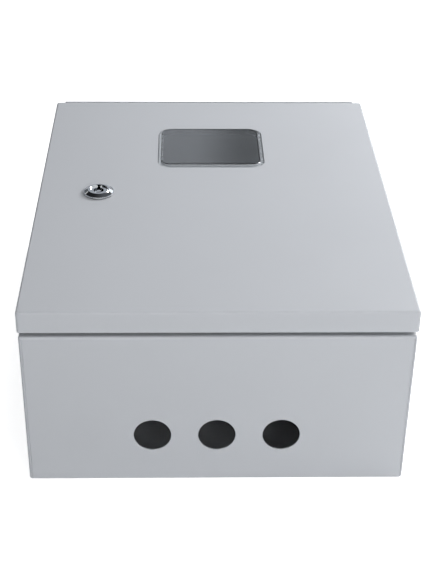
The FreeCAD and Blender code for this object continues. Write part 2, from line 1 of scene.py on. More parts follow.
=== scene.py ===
import bmesh
import bpy
import math
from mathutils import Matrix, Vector


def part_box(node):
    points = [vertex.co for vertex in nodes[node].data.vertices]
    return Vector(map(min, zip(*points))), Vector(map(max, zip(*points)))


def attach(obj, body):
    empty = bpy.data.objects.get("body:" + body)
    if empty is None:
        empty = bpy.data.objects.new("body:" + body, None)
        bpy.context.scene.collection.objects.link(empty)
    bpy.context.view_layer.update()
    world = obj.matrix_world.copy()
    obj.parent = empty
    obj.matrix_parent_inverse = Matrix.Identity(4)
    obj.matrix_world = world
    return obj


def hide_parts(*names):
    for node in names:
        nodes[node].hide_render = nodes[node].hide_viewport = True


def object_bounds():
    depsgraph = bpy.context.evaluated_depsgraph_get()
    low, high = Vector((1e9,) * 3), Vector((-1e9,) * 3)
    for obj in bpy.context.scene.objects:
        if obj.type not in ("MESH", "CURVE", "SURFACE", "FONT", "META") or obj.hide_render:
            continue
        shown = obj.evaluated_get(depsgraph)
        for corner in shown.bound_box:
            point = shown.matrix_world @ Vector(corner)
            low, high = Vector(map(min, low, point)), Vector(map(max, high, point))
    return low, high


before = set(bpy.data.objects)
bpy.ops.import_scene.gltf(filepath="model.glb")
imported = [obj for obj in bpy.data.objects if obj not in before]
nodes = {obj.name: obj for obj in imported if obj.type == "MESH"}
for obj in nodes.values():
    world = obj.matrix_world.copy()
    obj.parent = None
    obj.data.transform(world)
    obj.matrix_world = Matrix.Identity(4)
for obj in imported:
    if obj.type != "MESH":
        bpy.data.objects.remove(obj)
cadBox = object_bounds()
mm = 0.001
print("frame loaded:", len(nodes), "nodes")


# Helpers for materials

def linear(hexColour):
    # sRGB hex to the linear values that a shader socket takes
    channels = [int(hexColour[i:i + 2], 16) / 255 for i in (1, 3, 5)]
    toned = [c / 12.92 if c <= 0.04045 else ((c + 0.055) / 1.055) ** 2.4 for c in channels]
    return (*toned, 1.0)


def addNode(tree, kind, settings=None, links=None):
    # One shader node, with its settings (socket or property) and the sockets that feed it
    node = tree.nodes.new(kind)
    for key, value in (settings or {}).items():
        if isinstance(key, int) or key in node.inputs:
            node.inputs[key].default_value = value
        else:
            setattr(node, key, value)
    for key, source in (links or {}).items():
        tree.links.new(source, node.inputs[key])
    return node


def emptyTree(owner):
    # The node tree of a material or world, with nothing in it
    owner.use_nodes = True
    owner.node_tree.nodes.clear()
    return owner.node_tree


def newMaterial(name):
    # A material with its shader and output, and the coordinates in metres
    material = bpy.data.materials.new(name)
    tree = emptyTree(material)
    shader = addNode(tree, "ShaderNodeBsdfPrincipled")
    addNode(tree, "ShaderNodeOutputMaterial", links={"Surface": shader.outputs["BSDF"]})
    place = addNode(tree, "ShaderNodeTexCoord").outputs["Object"]
    return material, tree, shader, place


def twoTone(tree, factor, colourA, colourB):
    # The colour between two sRGB hex values, for a factor from 0 to 1
    ramp = addNode(tree, "ShaderNodeValToRGB", links={"Fac": factor})
    ramp.color_ramp.elements[0].color = linear(colourA)
    ramp.color_ramp.elements[1].color = linear(colourB)
    return ramp.outputs["Color"]


# Materials

powderCoatFinish = {
    "colour": "#C3C6CB",            # light grey
    "thinner": "#C0C3C8",           # where the film is a little thinner
    "patch": 70.0,                  # mm, size of the film's slow changes
    "roughness": (0.40, 0.47),
    "peel": 2.4,                    # mm, orange peel drawn a little coarser than the real 1 mm
    "peelDepth": 0.012,             # mm
    "grit": 0.35,                   # mm, the powder's own grain
    "gritDepth": 0.002,             # mm
    "ior": 1.5,
}


def powderCoat():
    # Polyester powder coat, sprayed dry and baked: even light grey, satin, with faint orange peel
    spec = powderCoatFinish
    material, tree, shader, place = newMaterial("polyester powder coat")
    patch = addNode(tree, "ShaderNodeTexNoise", {"Scale": 1 / (spec["patch"] * mm), "Detail": 2.0},
                    {"Vector": place})
    colour = twoTone(tree, patch.outputs["Fac"], spec["thinner"], spec["colour"])
    gloss = addNode(tree, "ShaderNodeMapRange",
                    {"To Min": spec["roughness"][0], "To Max": spec["roughness"][1]},
                    {"Value": patch.outputs["Fac"]})
    peel = addNode(tree, "ShaderNodeTexNoise", {"Scale": 1 / (spec["peel"] * mm), "Detail": 1.0},
                   {"Vector": place})
    grit = addNode(tree, "ShaderNodeTexNoise", {"Scale": 1 / (spec["grit"] * mm), "Detail": 2.0},
                   {"Vector": place})
    wave = addNode(tree, "ShaderNodeBump", {"Distance": spec["peelDepth"] * mm, "Strength": 1.0},
                   {"Height": peel.outputs["Fac"]})
    bump = addNode(tree, "ShaderNodeBump", {"Distance": spec["gritDepth"] * mm, "Strength": 1.0},
                   {"Height": grit.outputs["Fac"], "Normal": wave.outputs["Normal"]})
    tree.links.new(colour, shader.inputs["Base Color"])
    tree.links.new(gloss.outputs["Result"], shader.inputs["Roughness"])
    tree.links.new(bump.outputs["Normal"], shader.inputs["Normal"])
    shader.inputs["IOR"].default_value = spec["ior"]
    return material


galvanisedFinish = {
    "colours": ("#9AA0A5", "#B9BEC3"),
    "spangle": 9.0,                 # mm across one zinc crystal
    "roughness": (0.34, 0.52),
    "relief": 0.01,                 # mm between one crystal and the next
}


def galvanisedSheet():
    # Hot-dip galvanised sheet: grey zinc with spangle, each crystal a shade of its own
    spec = galvanisedFinish
    material, tree, shader, place = newMaterial("galvanised sheet steel")
    crystal = addNode(tree, "ShaderNodeTexVoronoi", {"Scale": 1 / (spec["spangle"] * mm)},
                      {"Vector": place})
    shade = addNode(tree, "ShaderNodeSeparateColor", links={"Color": crystal.outputs["Color"]})
    colour = twoTone(tree, shade.outputs["Red"], *spec["colours"])
    gloss = addNode(tree, "ShaderNodeMapRange",
                    {"To Min": spec["roughness"][0], "To Max": spec["roughness"][1]},
                    {"Value": shade.outputs["Green"]})
    bump = addNode(tree, "ShaderNodeBump", {"Distance": spec["relief"] * mm, "Strength": 1.0},
                   {"Height": shade.outputs["Blue"]})
    tree.links.new(colour, shader.inputs["Base Color"])
    tree.links.new(gloss.outputs["Result"], shader.inputs["Roughness"])
    tree.links.new(bump.outputs["Normal"], shader.inputs["Normal"])
    shader.inputs["Metallic"].default_value = 1.0
    return material


# Metals that differ only in tint, gloss and the size of their mottling in mm
metalFinishes = {
    "bright zinc plate": {
        "colours": ("#BFC4CA", "#D2D6DB"), "mottle": 1.6, "roughness": (0.24, 0.36)},
    "passivated zinc rail": {
        "colours": ("#C9C08C", "#C6C8B4"), "mottle": 14.0, "roughness": (0.26, 0.34)},
    "copper-plated weld stud": {
        "colours": ("#B0704C", "#C98C63"), "mottle": 1.2, "roughness": (0.30, 0.42)},
    "bright chrome plate": {
        "colours": ("#DCDEE0", "#E4E6E8"), "mottle": 6.0, "roughness": (0.05, 0.09)},
}


def platedMetal(name):
    # Electroplated steel or zinc die casting: mirror to satin metal, very slightly mottled
    spec = metalFinishes[name]
    material, tree, shader, place = newMaterial(name)
    mottle = addNode(tree, "ShaderNodeTexNoise", {"Scale": 1 / (spec["mottle"] * mm), "Detail": 3.0},
                     {"Vector": place})
    colour = twoTone(tree, mottle.outputs["Fac"], *spec["colours"])
    gloss = addNode(tree, "ShaderNodeMapRange",
                    {"To Min": spec["roughness"][0], "To Max": spec["roughness"][1]},
                    {"Value": mottle.outputs["Fac"]})
    tree.links.new(colour, shader.inputs["Base Color"])
    tree.links.new(gloss.outputs["Result"], shader.inputs["Roughness"])
    shader.inputs["Metallic"].default_value = 1.0
    return material


# Dark seals, with the size and depth of their cells in mm
softFinishes = {
    "polyurethane foam": {"colours": ("#2E3032", "#43464A"), "cell": 0.7, "depth": 0.12,
                          "roughness": 0.92, "ior": 1.45},
    "EPDM rubber": {"colours": ("#1A1B1C", "#232526"), "cell": 0.5, "depth": 0.01,
                    "roughness": 0.68, "ior": 1.5},
}


def softMaterial(name):
    # Foamed-in-place seal with a cellular skin, or cut rubber sheet: dark and matt
    spec = softFinishes[name]
    material, tree, shader, place = newMaterial(name)
    cells = addNode(tree, "ShaderNodeTexVoronoi", {"Scale": 1 / (spec["cell"] * mm)}, {"Vector": place})
    colour = twoTone(tree, cells.outputs["Distance"], *spec["colours"])
    bump = addNode(tree, "ShaderNodeBump", {"Distance": spec["depth"] * mm, "Strength": 1.0},
                   {"Height": cells.outputs["Distance"]})
    tree.links.new(colour, shader.inputs["Base Color"])
    tree.links.new(bump.outputs["Normal"], shader.inputs["Normal"])
    shader.inputs["Roughness"].default_value = spec["roughness"]
    shader.inputs["IOR"].default_value = spec["ior"]
    return material


paneFinish = {
    "colour": "#C6CCD2",            # faintly smoked
    "ior": 1.585,
    "haze": 0.03,                   # the slight milkiness of the sheet
    "roughness": (0.015, 0.05),
    "wave": 30.0,                   # mm, slow waves left by moulding
    "waveDepth": 0.01,              # mm
    "frost": "#BEC3C8",             # painted light: the light hazy grey of the ledge and the left rim, for light that the clear plastic carries there
    "frostRoughness": 0.35,
    "frostFrom": 164.5,             # mm above the back, where the pane starts to show
    "mottle": 1.9,                  # mm, of the haze's spots
    "ledgeTop": 165.0,              # mm above the back, just over the ledge
    "ledgeHaze": 0.9,               # share of the ledge that is hazy
    "clearTop": (30.0, 40.0),       # mm above the middle, where the ledge turns clear
    "rimFrom": (44.6, 45.2),        # mm left of the middle, where the rim turns hazy
    "rimSpots": (0.38, 0.62),       # noise values between which its haze grows
    "rimHaze": (0.05, 0.8),         # least and most share of the rim
    "shadeColour": "#505459",       # painted shade on the hazy ledge and near wall, and its shadow lines
    "patchyFrom": (42.0, 48.0),     # mm right of the middle, where the painted shade shows in patches
    "patchSpots": (0.58, 0.44),     # noise values between which a patch grows
    "nearFrom": (36.0, 41.0),       # mm below the middle, where the painted shade shows a little on the near ledge
    "nearShade": 0.35,
    "openingWidth": 99.4,           # mm, of the cut-out in the door
    "shadowLine": (1.2, 0.8),      # mm from the opening's sides, where the painted shade shows as a shadow line
    "wallFrom": 33.0,               # mm below the middle, short of the raised part's near wall
    "wallSlope": (0.9, 0.6),        # upward part of the normal, from the flat top to the wall
    "wallHaze": 0.85,
    # painted shade on the raised part's near wall
    "wallShade": 0.4,
    "thinEdge": 5.5,                # mm, border at the sides that casts no shadow
}


def paneNearWall(tree, spot):
    # 1 on the steep near side of the pane's raised part
    spec = paneFinish
    onWall = addNode(tree, "ShaderNodeMath", {"operation": "LESS_THAN", 1: -spec["wallFrom"] * mm},
                     {0: spot.outputs["Y"]})
    raised = addNode(tree, "ShaderNodeMath", {"operation": "GREATER_THAN", 1: spec["ledgeTop"] * mm},
                     {0: spot.outputs["Z"]})
    normal = addNode(tree, "ShaderNodeTexCoord").outputs["Normal"]
    upward = addNode(tree, "ShaderNodeSeparateXYZ", links={0: normal}).outputs["Z"]
    steep = addNode(tree, "ShaderNodeMapRange",
                    {"From Min": spec["wallSlope"][0], "From Max": spec["wallSlope"][1]},
                    {"Value": upward})
    nearSide = addNode(tree, "ShaderNodeMath", {"operation": "MULTIPLY"},
                       {0: onWall.outputs[0], 1: raised.outputs[0]})
    return addNode(tree, "ShaderNodeMath", {"operation": "MULTIPLY"},
                   {0: nearSide.outputs[0], 1: steep.outputs["Result"]}).outputs[0]


def paneHaze(tree, spot, mottle, wall):
    # How hazy the pane is: its left rim in spots, its ledge but for the far end, and its near wall
    # the light hazy grey is painted light on the left rim and the ledge
    spec = paneFinish
    spots = addNode(tree, "ShaderNodeMapRange",
                    {"From Min": spec["rimSpots"][0], "From Max": spec["rimSpots"][1],
                     "To Min": spec["rimHaze"][0], "To Max": spec["rimHaze"][1]}, {"Value": mottle})
    leftEdge = addNode(tree, "ShaderNodeMapRange",
                       {"From Min": -spec["rimFrom"][0] * mm, "From Max": -spec["rimFrom"][1] * mm},
                       {"Value": spot.outputs["X"]})
    rim = addNode(tree, "ShaderNodeMath", {"operation": "MULTIPLY"},
                  {0: leftEdge.outputs["Result"], 1: spots.outputs["Result"]})

    onLedge = addNode(tree, "ShaderNodeMath", {"operation": "LESS_THAN", 1: spec["ledgeTop"] * mm},
                      {0: spot.outputs["Z"]})
    even = addNode(tree, "ShaderNodeMath", {"operation": "MULTIPLY", 1: spec["ledgeHaze"]},
                   {0: onLedge.outputs[0]})
    below = addNode(tree, "ShaderNodeMapRange",
                    {"From Min": spec["clearTop"][1] * mm, "From Max": spec["clearTop"][0] * mm},
                    {"Value": spot.outputs["Y"]})
    ledge = addNode(tree, "ShaderNodeMath", {"operation": "MULTIPLY"},
                    {0: even.outputs[0], 1: below.outputs["Result"]})

    wallHaze = addNode(tree, "ShaderNodeMath", {"operation": "MULTIPLY", 1: spec["wallHaze"]},
                       {0: wall})
    most = rim.outputs[0]
    for other in (ledge, wallHaze):
        most = addNode(tree, "ShaderNodeMath", {"operation": "MAXIMUM"},
                       {0: most, 1: other.outputs[0]}).outputs[0]
    shown = addNode(tree, "ShaderNodeMath", {"operation": "GREATER_THAN", 1: spec["frostFrom"] * mm},
                    {0: spot.outputs["Z"]})
    return addNode(tree, "ShaderNodeMath", {"operation": "MULTIPLY"},
                   {0: most, 1: shown.outputs[0]}).outputs[0]


def panePaintedShade(tree, spot, sideways, mottle, wall):
    # How dark the painted shade on the haze is: the right ledge in patches, the near ledge and wall a
    # little, and a painted shadow line along the sides of the opening
    spec = paneFinish
    halfX = spec["openingWidth"] / 2
    patchy = addNode(tree, "ShaderNodeMapRange",
                     {"From Min": spec["patchyFrom"][0] * mm, "From Max": spec["patchyFrom"][1] * mm},
                     {"Value": spot.outputs["X"]})
    spots = addNode(tree, "ShaderNodeMapRange",
                    {"From Min": spec["patchSpots"][0], "From Max": spec["patchSpots"][1]},
                    {"Value": mottle})
    right = addNode(tree, "ShaderNodeMath", {"operation": "MULTIPLY"},
                    {0: patchy.outputs["Result"], 1: spots.outputs["Result"]})
    near = addNode(tree, "ShaderNodeMapRange",
                   {"From Min": -spec["nearFrom"][0] * mm, "From Max": -spec["nearFrom"][1] * mm,
                    "To Max": spec["nearShade"]}, {"Value": spot.outputs["Y"]})
    line = addNode(tree, "ShaderNodeMapRange",
                   {"From Min": (halfX - spec["shadowLine"][0]) * mm,
                    "From Max": (halfX - spec["shadowLine"][1]) * mm}, {"Value": sideways})
    wallShade = addNode(tree, "ShaderNodeMath", {"operation": "MULTIPLY", 1: spec["wallShade"]},
                        {0: wall})
    most = right.outputs[0]
    for other in (near, line, wallShade):
        most = addNode(tree, "ShaderNodeMath", {"operation": "MAXIMUM"},
                       {0: most, 1: other.outputs[0]}).outputs[0]
    return most


def clearPane():
    # Moulded polycarbonate: clear and glossy, with slow waves; a light hazy grey on its ledge and left
    # rim is painted light, and its ledge and near wall also carry painted shade
    spec = paneFinish
    material, tree, shader, place = newMaterial("moulded polycarbonate")
    wave = addNode(tree, "ShaderNodeTexNoise", {"Scale": 1 / (spec["wave"] * mm), "Detail": 1.0},
                   {"Vector": place})
    gloss = addNode(tree, "ShaderNodeMapRange",
                    {"To Min": spec["roughness"][0], "To Max": spec["roughness"][1]},
                    {"Value": wave.outputs["Fac"]})
    bump = addNode(tree, "ShaderNodeBump", {"Distance": spec["waveDepth"] * mm, "Strength": 1.0},
                   {"Height": wave.outputs["Fac"]})
    mottle = addNode(tree, "ShaderNodeTexNoise", {"Scale": 1 / (spec["mottle"] * mm), "Detail": 2.0},
                     {"Vector": place}).outputs["Fac"]

    low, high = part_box("window_pane")
    centre = ((low[0] + high[0]) / 2, (low[1] + high[1]) / 2, 0.0)
    fromCentre = addNode(tree, "ShaderNodeVectorMath", {"operation": "SUBTRACT", 1: centre}, {0: place})
    spot = addNode(tree, "ShaderNodeSeparateXYZ", links={0: fromCentre.outputs["Vector"]})
    sideways = addNode(tree, "ShaderNodeMath", {"operation": "ABSOLUTE"},
                       {0: spot.outputs["X"]}).outputs[0]
    wall = paneNearWall(tree, spot)
    # painted light: where the pane turns to a light hazy grey
    frosted = paneHaze(tree, spot, mottle, wall)
    # painted shade on the hazy parts: right ledge, near ledge, near wall and the opening's sides
    paintedShade = panePaintedShade(tree, spot, sideways, mottle, wall)

    clear = addNode(tree, "ShaderNodeMapRange", {"To Min": 1.0 - spec["haze"], "To Max": 0.0},
                    {"Value": frosted})
    rough = addNode(tree, "ShaderNodeMix", {"data_type": "FLOAT", "B": spec["frostRoughness"]},
                    {"Factor": frosted, "A": gloss.outputs["Result"]})
    # the hazy parts take the painted light grey, darkened by the painted shade
    colour = addNode(tree, "ShaderNodeMix", {"data_type": "RGBA", 6: linear(spec["colour"])},
                     {0: frosted, 7: twoTone(tree, paintedShade, spec["frost"], spec["shadeColour"])})
    tree.links.new(colour.outputs[2], shader.inputs["Base Color"])
    tree.links.new(rough.outputs["Result"], shader.inputs["Roughness"])
    tree.links.new(bump.outputs["Normal"], shader.inputs["Normal"])
    tree.links.new(clear.outputs["Result"], shader.inputs["Transmission Weight"])
    shader.inputs["IOR"].default_value = spec["ior"]

    # the raised sides let lamp light through to the ledge and the door beside them
    edge = (spec["openingWidth"] / 2 - spec["thinEdge"]) * mm
    border = addNode(tree, "ShaderNodeMath", {"operation": "GREATER_THAN", 1: edge}, {0: sideways})
    path = addNode(tree, "ShaderNodeLightPath")
    lit = addNode(tree, "ShaderNodeMath", {"operation": "MULTIPLY"},
                  {0: border.outputs[0], 1: path.outputs["Is Shadow Ray"]})
    through = addNode(tree, "ShaderNodeBsdfTransparent")
    mix = addNode(tree, "ShaderNodeMixShader", links={0: lit.outputs[0], 1: shader.outputs["BSDF"],
                                                      2: through.outputs[0]})
    tree.links.new(mix.outputs[0], tree.get_output_node("ALL").inputs["Surface"])
    return material


materials = {
    "powder_coated_steel": powderCoat(),
    "galvanised_sheet": galvanisedSheet(),
    "passivated_rail": platedMetal("passivated zinc rail"),
    "zinc_hardware": platedMetal("bright zinc plate"),
    "copper_plated_stud": platedMetal("copper-plated weld stud"),
    "foam_seal": softMaterial("polyurethane foam"),
    "rubber_seal": softMaterial("EPDM rubber"),
    "clear_pane": clearPane(),
    "chrome_plate": platedMetal("bright chrome plate"),
}
for node in nodes.values():
    for slot in node.material_slots:
        slot.material = materials[slot.material.name]
print("materials ready:", len(materials))


# Helpers for meshes

def corners(node, inset):
    # The four places that lie inset from the corners of a node's box, seen from above
    low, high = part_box(node)
    reach = inset * mm
    return [(x, y) for x in (low[0] + reach, high[0] - reach) for y in (low[1] + reach, high[1] - reach)]


def middle(node):
    # The middle of a node's box, seen from above
    low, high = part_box(node)
    return (low[0] + high[0]) / 2, (low[1] + high[1]) / 2


def heights(node):
    # The bottom and the top of a node's box
    low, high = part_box(node)
    return low[2], high[2]


def finishPiece(mesh, name, body, slot, replaced, sharpAngle=35):
    # Turns a bmesh into an object that rides on a body, shaded smooth below the sharp angle
    bmesh.ops.recalc_face_normals(mesh, faces=mesh.faces)
    data = bpy.data.meshes.new(name)
    mesh.to_mesh(data)
    mesh.free()
    for polygon in data.polygons:
        polygon.use_smooth = True
    data.set_sharp_from_angle(angle=math.radians(sharpAngle))
    data.materials.append(materials[slot])
    piece = bpy.data.objects.new(name, data)
    bpy.context.collection.objects.link(piece)
    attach(piece, body)
    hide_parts(*replaced)
    return piece


def addRings(mesh, rings, closed=False):
    # Quads between rings of points, each ring as long as the last
    rows = [[mesh.verts.new(point) for point in ring] for ring in rings]
    pairs = list(zip(rows, rows[1:]))
    if closed:
        pairs.append((rows[-1], rows[0]))
    for lower, upper in pairs:
        for i in range(len(lower)):
            j = (i + 1) % len(lower)
            mesh.faces.new((lower[i], lower[j], upper[j], upper[i]))
    return rows


def ringPoints(centre, z, radiusAt, steps):
    # A level ring whose radius may change with the angle
    points = []
    for i in range(steps):
        angle = 2 * math.pi * i / steps
        radius = radiusAt(angle)
        points.append((centre[0] + radius * math.cos(angle), centre[1] + radius * math.sin(angle), z))
    return points


threads = {
    "steps": 32,                    # points round a thread
    "perPitch": 8,                  # rings along one turn
    "depth": 0.61,                  # of the pitch, as on metric threads
    "endChamfer": 0.8,              # mm
}


def threadedRod(mesh, centre, z0, z1, radius, pitch, freeEnd):
    # A rod with a real helical thread, whose crest lies at the plain rod's radius
    depth = threads["depth"] * pitch
    rows = max(2, round((z1 - z0) / pitch * threads["perPitch"]))
    rings = []
    for row in range(rows + 1):
        z = z0 + (z1 - z0) * row / rows
        limit = radius - max(0.0, threads["endChamfer"] * mm - abs(z - freeEnd))

        def radiusAt(angle, z=z, limit=limit):
            turn = (z / pitch - angle / (2 * math.pi)) % 1.0
            return min(radius - depth * abs(2 * turn - 1), limit)

        rings.append(ringPoints(centre, z, radiusAt, threads["steps"]))
    made = addRings(mesh, rings)
    mesh.faces.new(made[0])
    mesh.faces.new(made[-1])


def lathe(mesh, centre, profile, steps=96):
    # A closed ring turned about the upright axis from points of radius and height
    rings = [ringPoints(centre, z, lambda angle, r=r: r, steps) for r, z in profile]
    addRings(mesh, rings, closed=True)


nutShape = {
    "turned": 0.96,                 # of the flats, the circle inside which an end stays flat
    "chamferAngle": 30.0,           # degrees, of the turned-down corners
    "countersink": 0.35,            # mm
    "flangeRim": 0.25,              # mm, rounding of a flange's edge
    "bore": 0.9,                    # share of the stud's radius that the nut's thread reaches
}


def hexRadius(angle, flats):
    # From the axis to the side of a hexagon
    wedge = (angle % (math.pi / 3)) - math.pi / 6
    return flats / 2 / math.cos(wedge)


def hexNut(mesh, centre, z0, z1, flats, bore, chamferLow, chamferHigh, steps=72):
    # A hexagon nut whose corners are turned down, with a countersunk bore
    turned = flats / 2 * nutShape["turned"]
    countersink = nutShape["countersink"] * mm
    slope = math.tan(math.radians(nutShape["chamferAngle"]))

    def endRings(z, inward, chamfered):
        # The rings of one end, from its bore out to its sides
        sides = ringPoints(centre, z, lambda a: hexRadius(a, flats), steps)
        if chamfered:
            drops = [slope * (hexRadius(2 * math.pi * i / steps, flats) - turned) for i in range(steps)]
            sides = [(x, y, z + inward * drop) for (x, y, _), drop in zip(sides, drops)]
        return [ringPoints(centre, z + inward * countersink, lambda a: bore, steps),
                ringPoints(centre, z, lambda a: bore + countersink, steps),
                ringPoints(centre, z, lambda a: turned, steps), sides]

    addRings(mesh, endRings(z0, 1, chamferLow) + endRings(z1, -1, chamferHigh)[::-1], closed=True)


# Foam seal in the door

foamBead = {
    "width": 10.0,                  # mm
    "height": 8.0,                  # mm
    "cornerRadius": 7.0,            # mm, along the bead's middle
    "cornerSteps": 8,
    "domeSteps": 28,
    "fullness": 0.62,               # 1 is a half round, less is squarer
    "pressed": 1.6,                 # mm wide mark that the lip leaves
    "pressedSides": 4,              # how steep its sides are
    "pressedDepth": 0.5,            # mm
    "spacing": 2.5,                 # mm between sections
    "waver": 0.12,                  # mm, the nozzle's unevenness
    "waves": (41, 67, 1.3),         # two wave numbers per metre, and their offset
}


def beadSection():
    # Section of a bead poured on the flat: a dome with the lip's mark along its crown
    spec = foamBead
    points = []
    steps = spec["domeSteps"]
    for i in range(steps + 1):
        angle = math.pi * i / steps
        across = math.cos(angle) * spec["width"] / 2
        up = math.sin(angle) ** spec["fullness"] * spec["height"]
        mark = math.exp(-(across / spec["pressed"]) ** spec["pressedSides"])
        points.append((across, up - spec["pressedDepth"] * mark))
    return points


def makeFoamBead():
    # The section swept once round the door, with the slow swelling of a moving nozzle
    spec = foamBead
    low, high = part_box("door_gasket")
    halfX = (high[0] - low[0]) / 2 - spec["width"] / 2 * mm
    halfY = (high[1] - low[1]) / 2 - spec["width"] / 2 * mm
    radius = spec["cornerRadius"] * mm
    seat = high[2]
    section = beadSection()
    centres = [Vector((signX * (halfX - radius), signY * (halfY - radius)))
               for signX, signY in ((1, 1), (-1, 1), (-1, -1), (1, -1))]
    path = []
    for quarter, centre in enumerate(centres):
        for i in range(spec["cornerSteps"] + 1):
            angle = quarter * math.pi / 2 + math.pi / 2 * i / spec["cornerSteps"]
            out = Vector((math.cos(angle), math.sin(angle)))
            path.append((centre + out * radius, out))
        nextCentre = centres[(quarter + 1) % 4]
        run = (nextCentre - centre).length
        count = int(run / (spec["spacing"] * mm))
        for i in range(1, count):
            path.append((centre.lerp(nextCentre, i / count) + out * radius, out))
    mesh = bmesh.new()
    rings = []
    wave, otherWave, offset = spec["waves"]
    travelled = 0.0
    for i, (point, out) in enumerate(path):
        travelled += (point - path[i - 1][0]).length
        sway = math.sin(travelled * wave) * math.sin(travelled * otherWave + offset)
        swell = 1 - spec["waver"] / spec["height"] * (1 + sway)
        rings.append([(point.x + out.x * a * mm, point.y + out.y * a * mm, seat - u * swell * mm)
                      for a, u in section])
    addRings(mesh, rings, closed=True)
    bead = finishPiece(mesh, "foam_bead", "door", "foam_seal", ["door_gasket"], 60)


makeFoamBead()
print("foam bead made")


# Flat rubber seals, cut from sheet, with soft edges; sizes in mm

rubberSeals = {
    "window": {"node": "window_seal", "hole": (99.4, 84.6), "holeRadius": 13.0, "outerRadius": 8.0,
               "edge": 0.3, "steps": 12},
    "lock": {"node": "lock_gasket", "bore": 11.25, "edge": 0.15},
}


def roundedOutline(centre, halfX, halfY, radius, z, steps):
    # A level rectangle with round corners
    points = []
    for quarter, (signX, signY) in enumerate([(1, 1), (-1, 1), (-1, -1), (1, -1)]):
        for i in range(steps + 1):
            angle = math.pi / 2 * (quarter + i / steps)
            points.append((centre[0] + signX * (halfX - radius) + radius * math.cos(angle),
                           centre[1] + signY * (halfY - radius) + radius * math.sin(angle), z))
    return points


def makeWindowSeal():
    spec = rubberSeals["window"]
    low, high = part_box(spec["node"])
    centre = middle(spec["node"])
    outer = ((high[0] - low[0]) / 2, (high[1] - low[1]) / 2)
    hole = (spec["hole"][0] / 2 * mm, spec["hole"][1] / 2 * mm)
    edge = spec["edge"] * mm
    rings = []
    for half, radius, side in ((outer, spec["outerRadius"] * mm, -1),
                               (hole, spec["holeRadius"] * mm, 1)):
        levels = [(edge, low[2]), (0.0, low[2] + edge), (0.0, high[2] - edge), (edge, high[2])]
        if side > 0:
            levels.reverse()
        for inset, z in levels:
            grow = side * inset
            rings.append(roundedOutline(centre, half[0] + grow, half[1] + grow, radius + grow,
                                        z, spec["steps"]))
    mesh = bmesh.new()
    addRings(mesh, rings, closed=True)
    finishPiece(mesh, "window_rubber", "door", "rubber_seal", [spec["node"]], 50)


def makeLockGasket():
    spec = rubberSeals["lock"]
    low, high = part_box(spec["node"])
    centre = middle(spec["node"])
    outer = (high[0] - low[0]) / 2
    bore = spec["bore"] * mm
    edge = spec["edge"] * mm
    mesh = bmesh.new()
    lathe(mesh, centre, [(bore, low[2]), (outer - edge, low[2]), (outer, low[2] + edge),
                         (outer, high[2] - edge), (outer - edge, high[2]), (bore, high[2])])
    finishPiece(mesh, "lock_rubber", "door", "rubber_seal", [spec["node"]], 60)


makeWindowSeal()
makeLockGasket()
print("rubber seals made")


# Threaded studs and their nuts; sizes in mm

studs = {
    "plate": {"node": "plate_studs", "body": "enclosure", "slot": "zinc_hardware", "inset": 6.0,
              "radius": 3.0, "pitch": 1.0, "collar": 6.0, "collarTop": 12.0},
    "earth": {"node": "earth_stud", "body": "enclosure", "slot": "copper_plated_stud",
              "radius": 3.0, "pitch": 1.0},
    "doorEarth": {"node": "door_earth_stud", "body": "door", "slot": "copper_plated_stud",
                  "radius": 3.0, "pitch": 1.0},
    "window": {"node": "window_studs", "body": "door", "slot": "copper_plated_stud", "inset": 2.0,
               "radius": 2.0, "pitch": 0.7},
}
collarShape = {"edge": 0.5, "steps": 48}    # mm chamfer, and points round a collar

nuts = {
    "plate": {"node": "plate_nuts", "flats": 10.0, "flange": 6.2, "flangeHeight": 1.2, "stud": 3.0},
    "earth": {"node": "earth_nut", "flats": 10.0, "flange": 6.2, "flangeHeight": 1.2, "stud": 3.0},
    "doorEarth": {"node": "door_earth_nut", "flats": 10.0, "flange": 6.2, "flangeHeight": 1.2,
                  "stud": 3.0},
    "window": {"node": "window_nuts", "flats": 7.0, "stud": 2.0},
}


def addCollar(mesh, centre, z0, spec):
    # The thick foot that the mounting plate rests on, and the height of its top
    top = spec["collarTop"] * mm
    edge = collarShape["edge"] * mm
    radius = spec["collar"] * mm
    profile = ((radius, z0), (radius, top - edge), (radius - edge, top), (spec["radius"] * mm, top))
    made = addRings(mesh, [ringPoints(centre, z, lambda a, r=r: r, collarShape["steps"])
                           for r, z in profile])
    mesh.faces.new(made[0])
    mesh.faces.new(made[-1])
    return top


def makeStuds():
    for spec in studs.values():
        node = spec["node"]
        z0, z1 = heights(node)
        freeEnd = z1 if spec["body"] == "enclosure" else z0
        places = corners(node, spec["inset"]) if "inset" in spec else [middle(node)]
        mesh = bmesh.new()
        for centre in places:
            foot = addCollar(mesh, centre, z0, spec) if "collar" in spec else z0
            threadedRod(mesh, centre, foot, z1, spec["radius"] * mm, spec["pitch"] * mm, freeEnd)
        finishPiece(mesh, "threaded_" + node, spec["body"], spec["slot"], [node])


def flangeNut(mesh, centre, seat, up, spec, height):
    # up is 1 for a nut that stands on its seat and -1 for one that hangs from it
    bore = spec["stud"] * nutShape["bore"] * mm
    radius = spec["flange"] * mm
    rim = nutShape["flangeRim"] * mm
    top = seat + up * spec["flangeHeight"] * mm
    lathe(mesh, centre, [(bore, seat), (radius - rim, seat), (radius, seat + up * rim),
                         (radius, top - up * 2 * rim), (spec["flats"] / 2 * mm, top + up * rim),
                         (bore, top)])
    z0, z1 = sorted((top, seat + up * height))
    hexNut(mesh, centre, z0, z1, spec["flats"] * mm, bore, up < 0, up > 0)


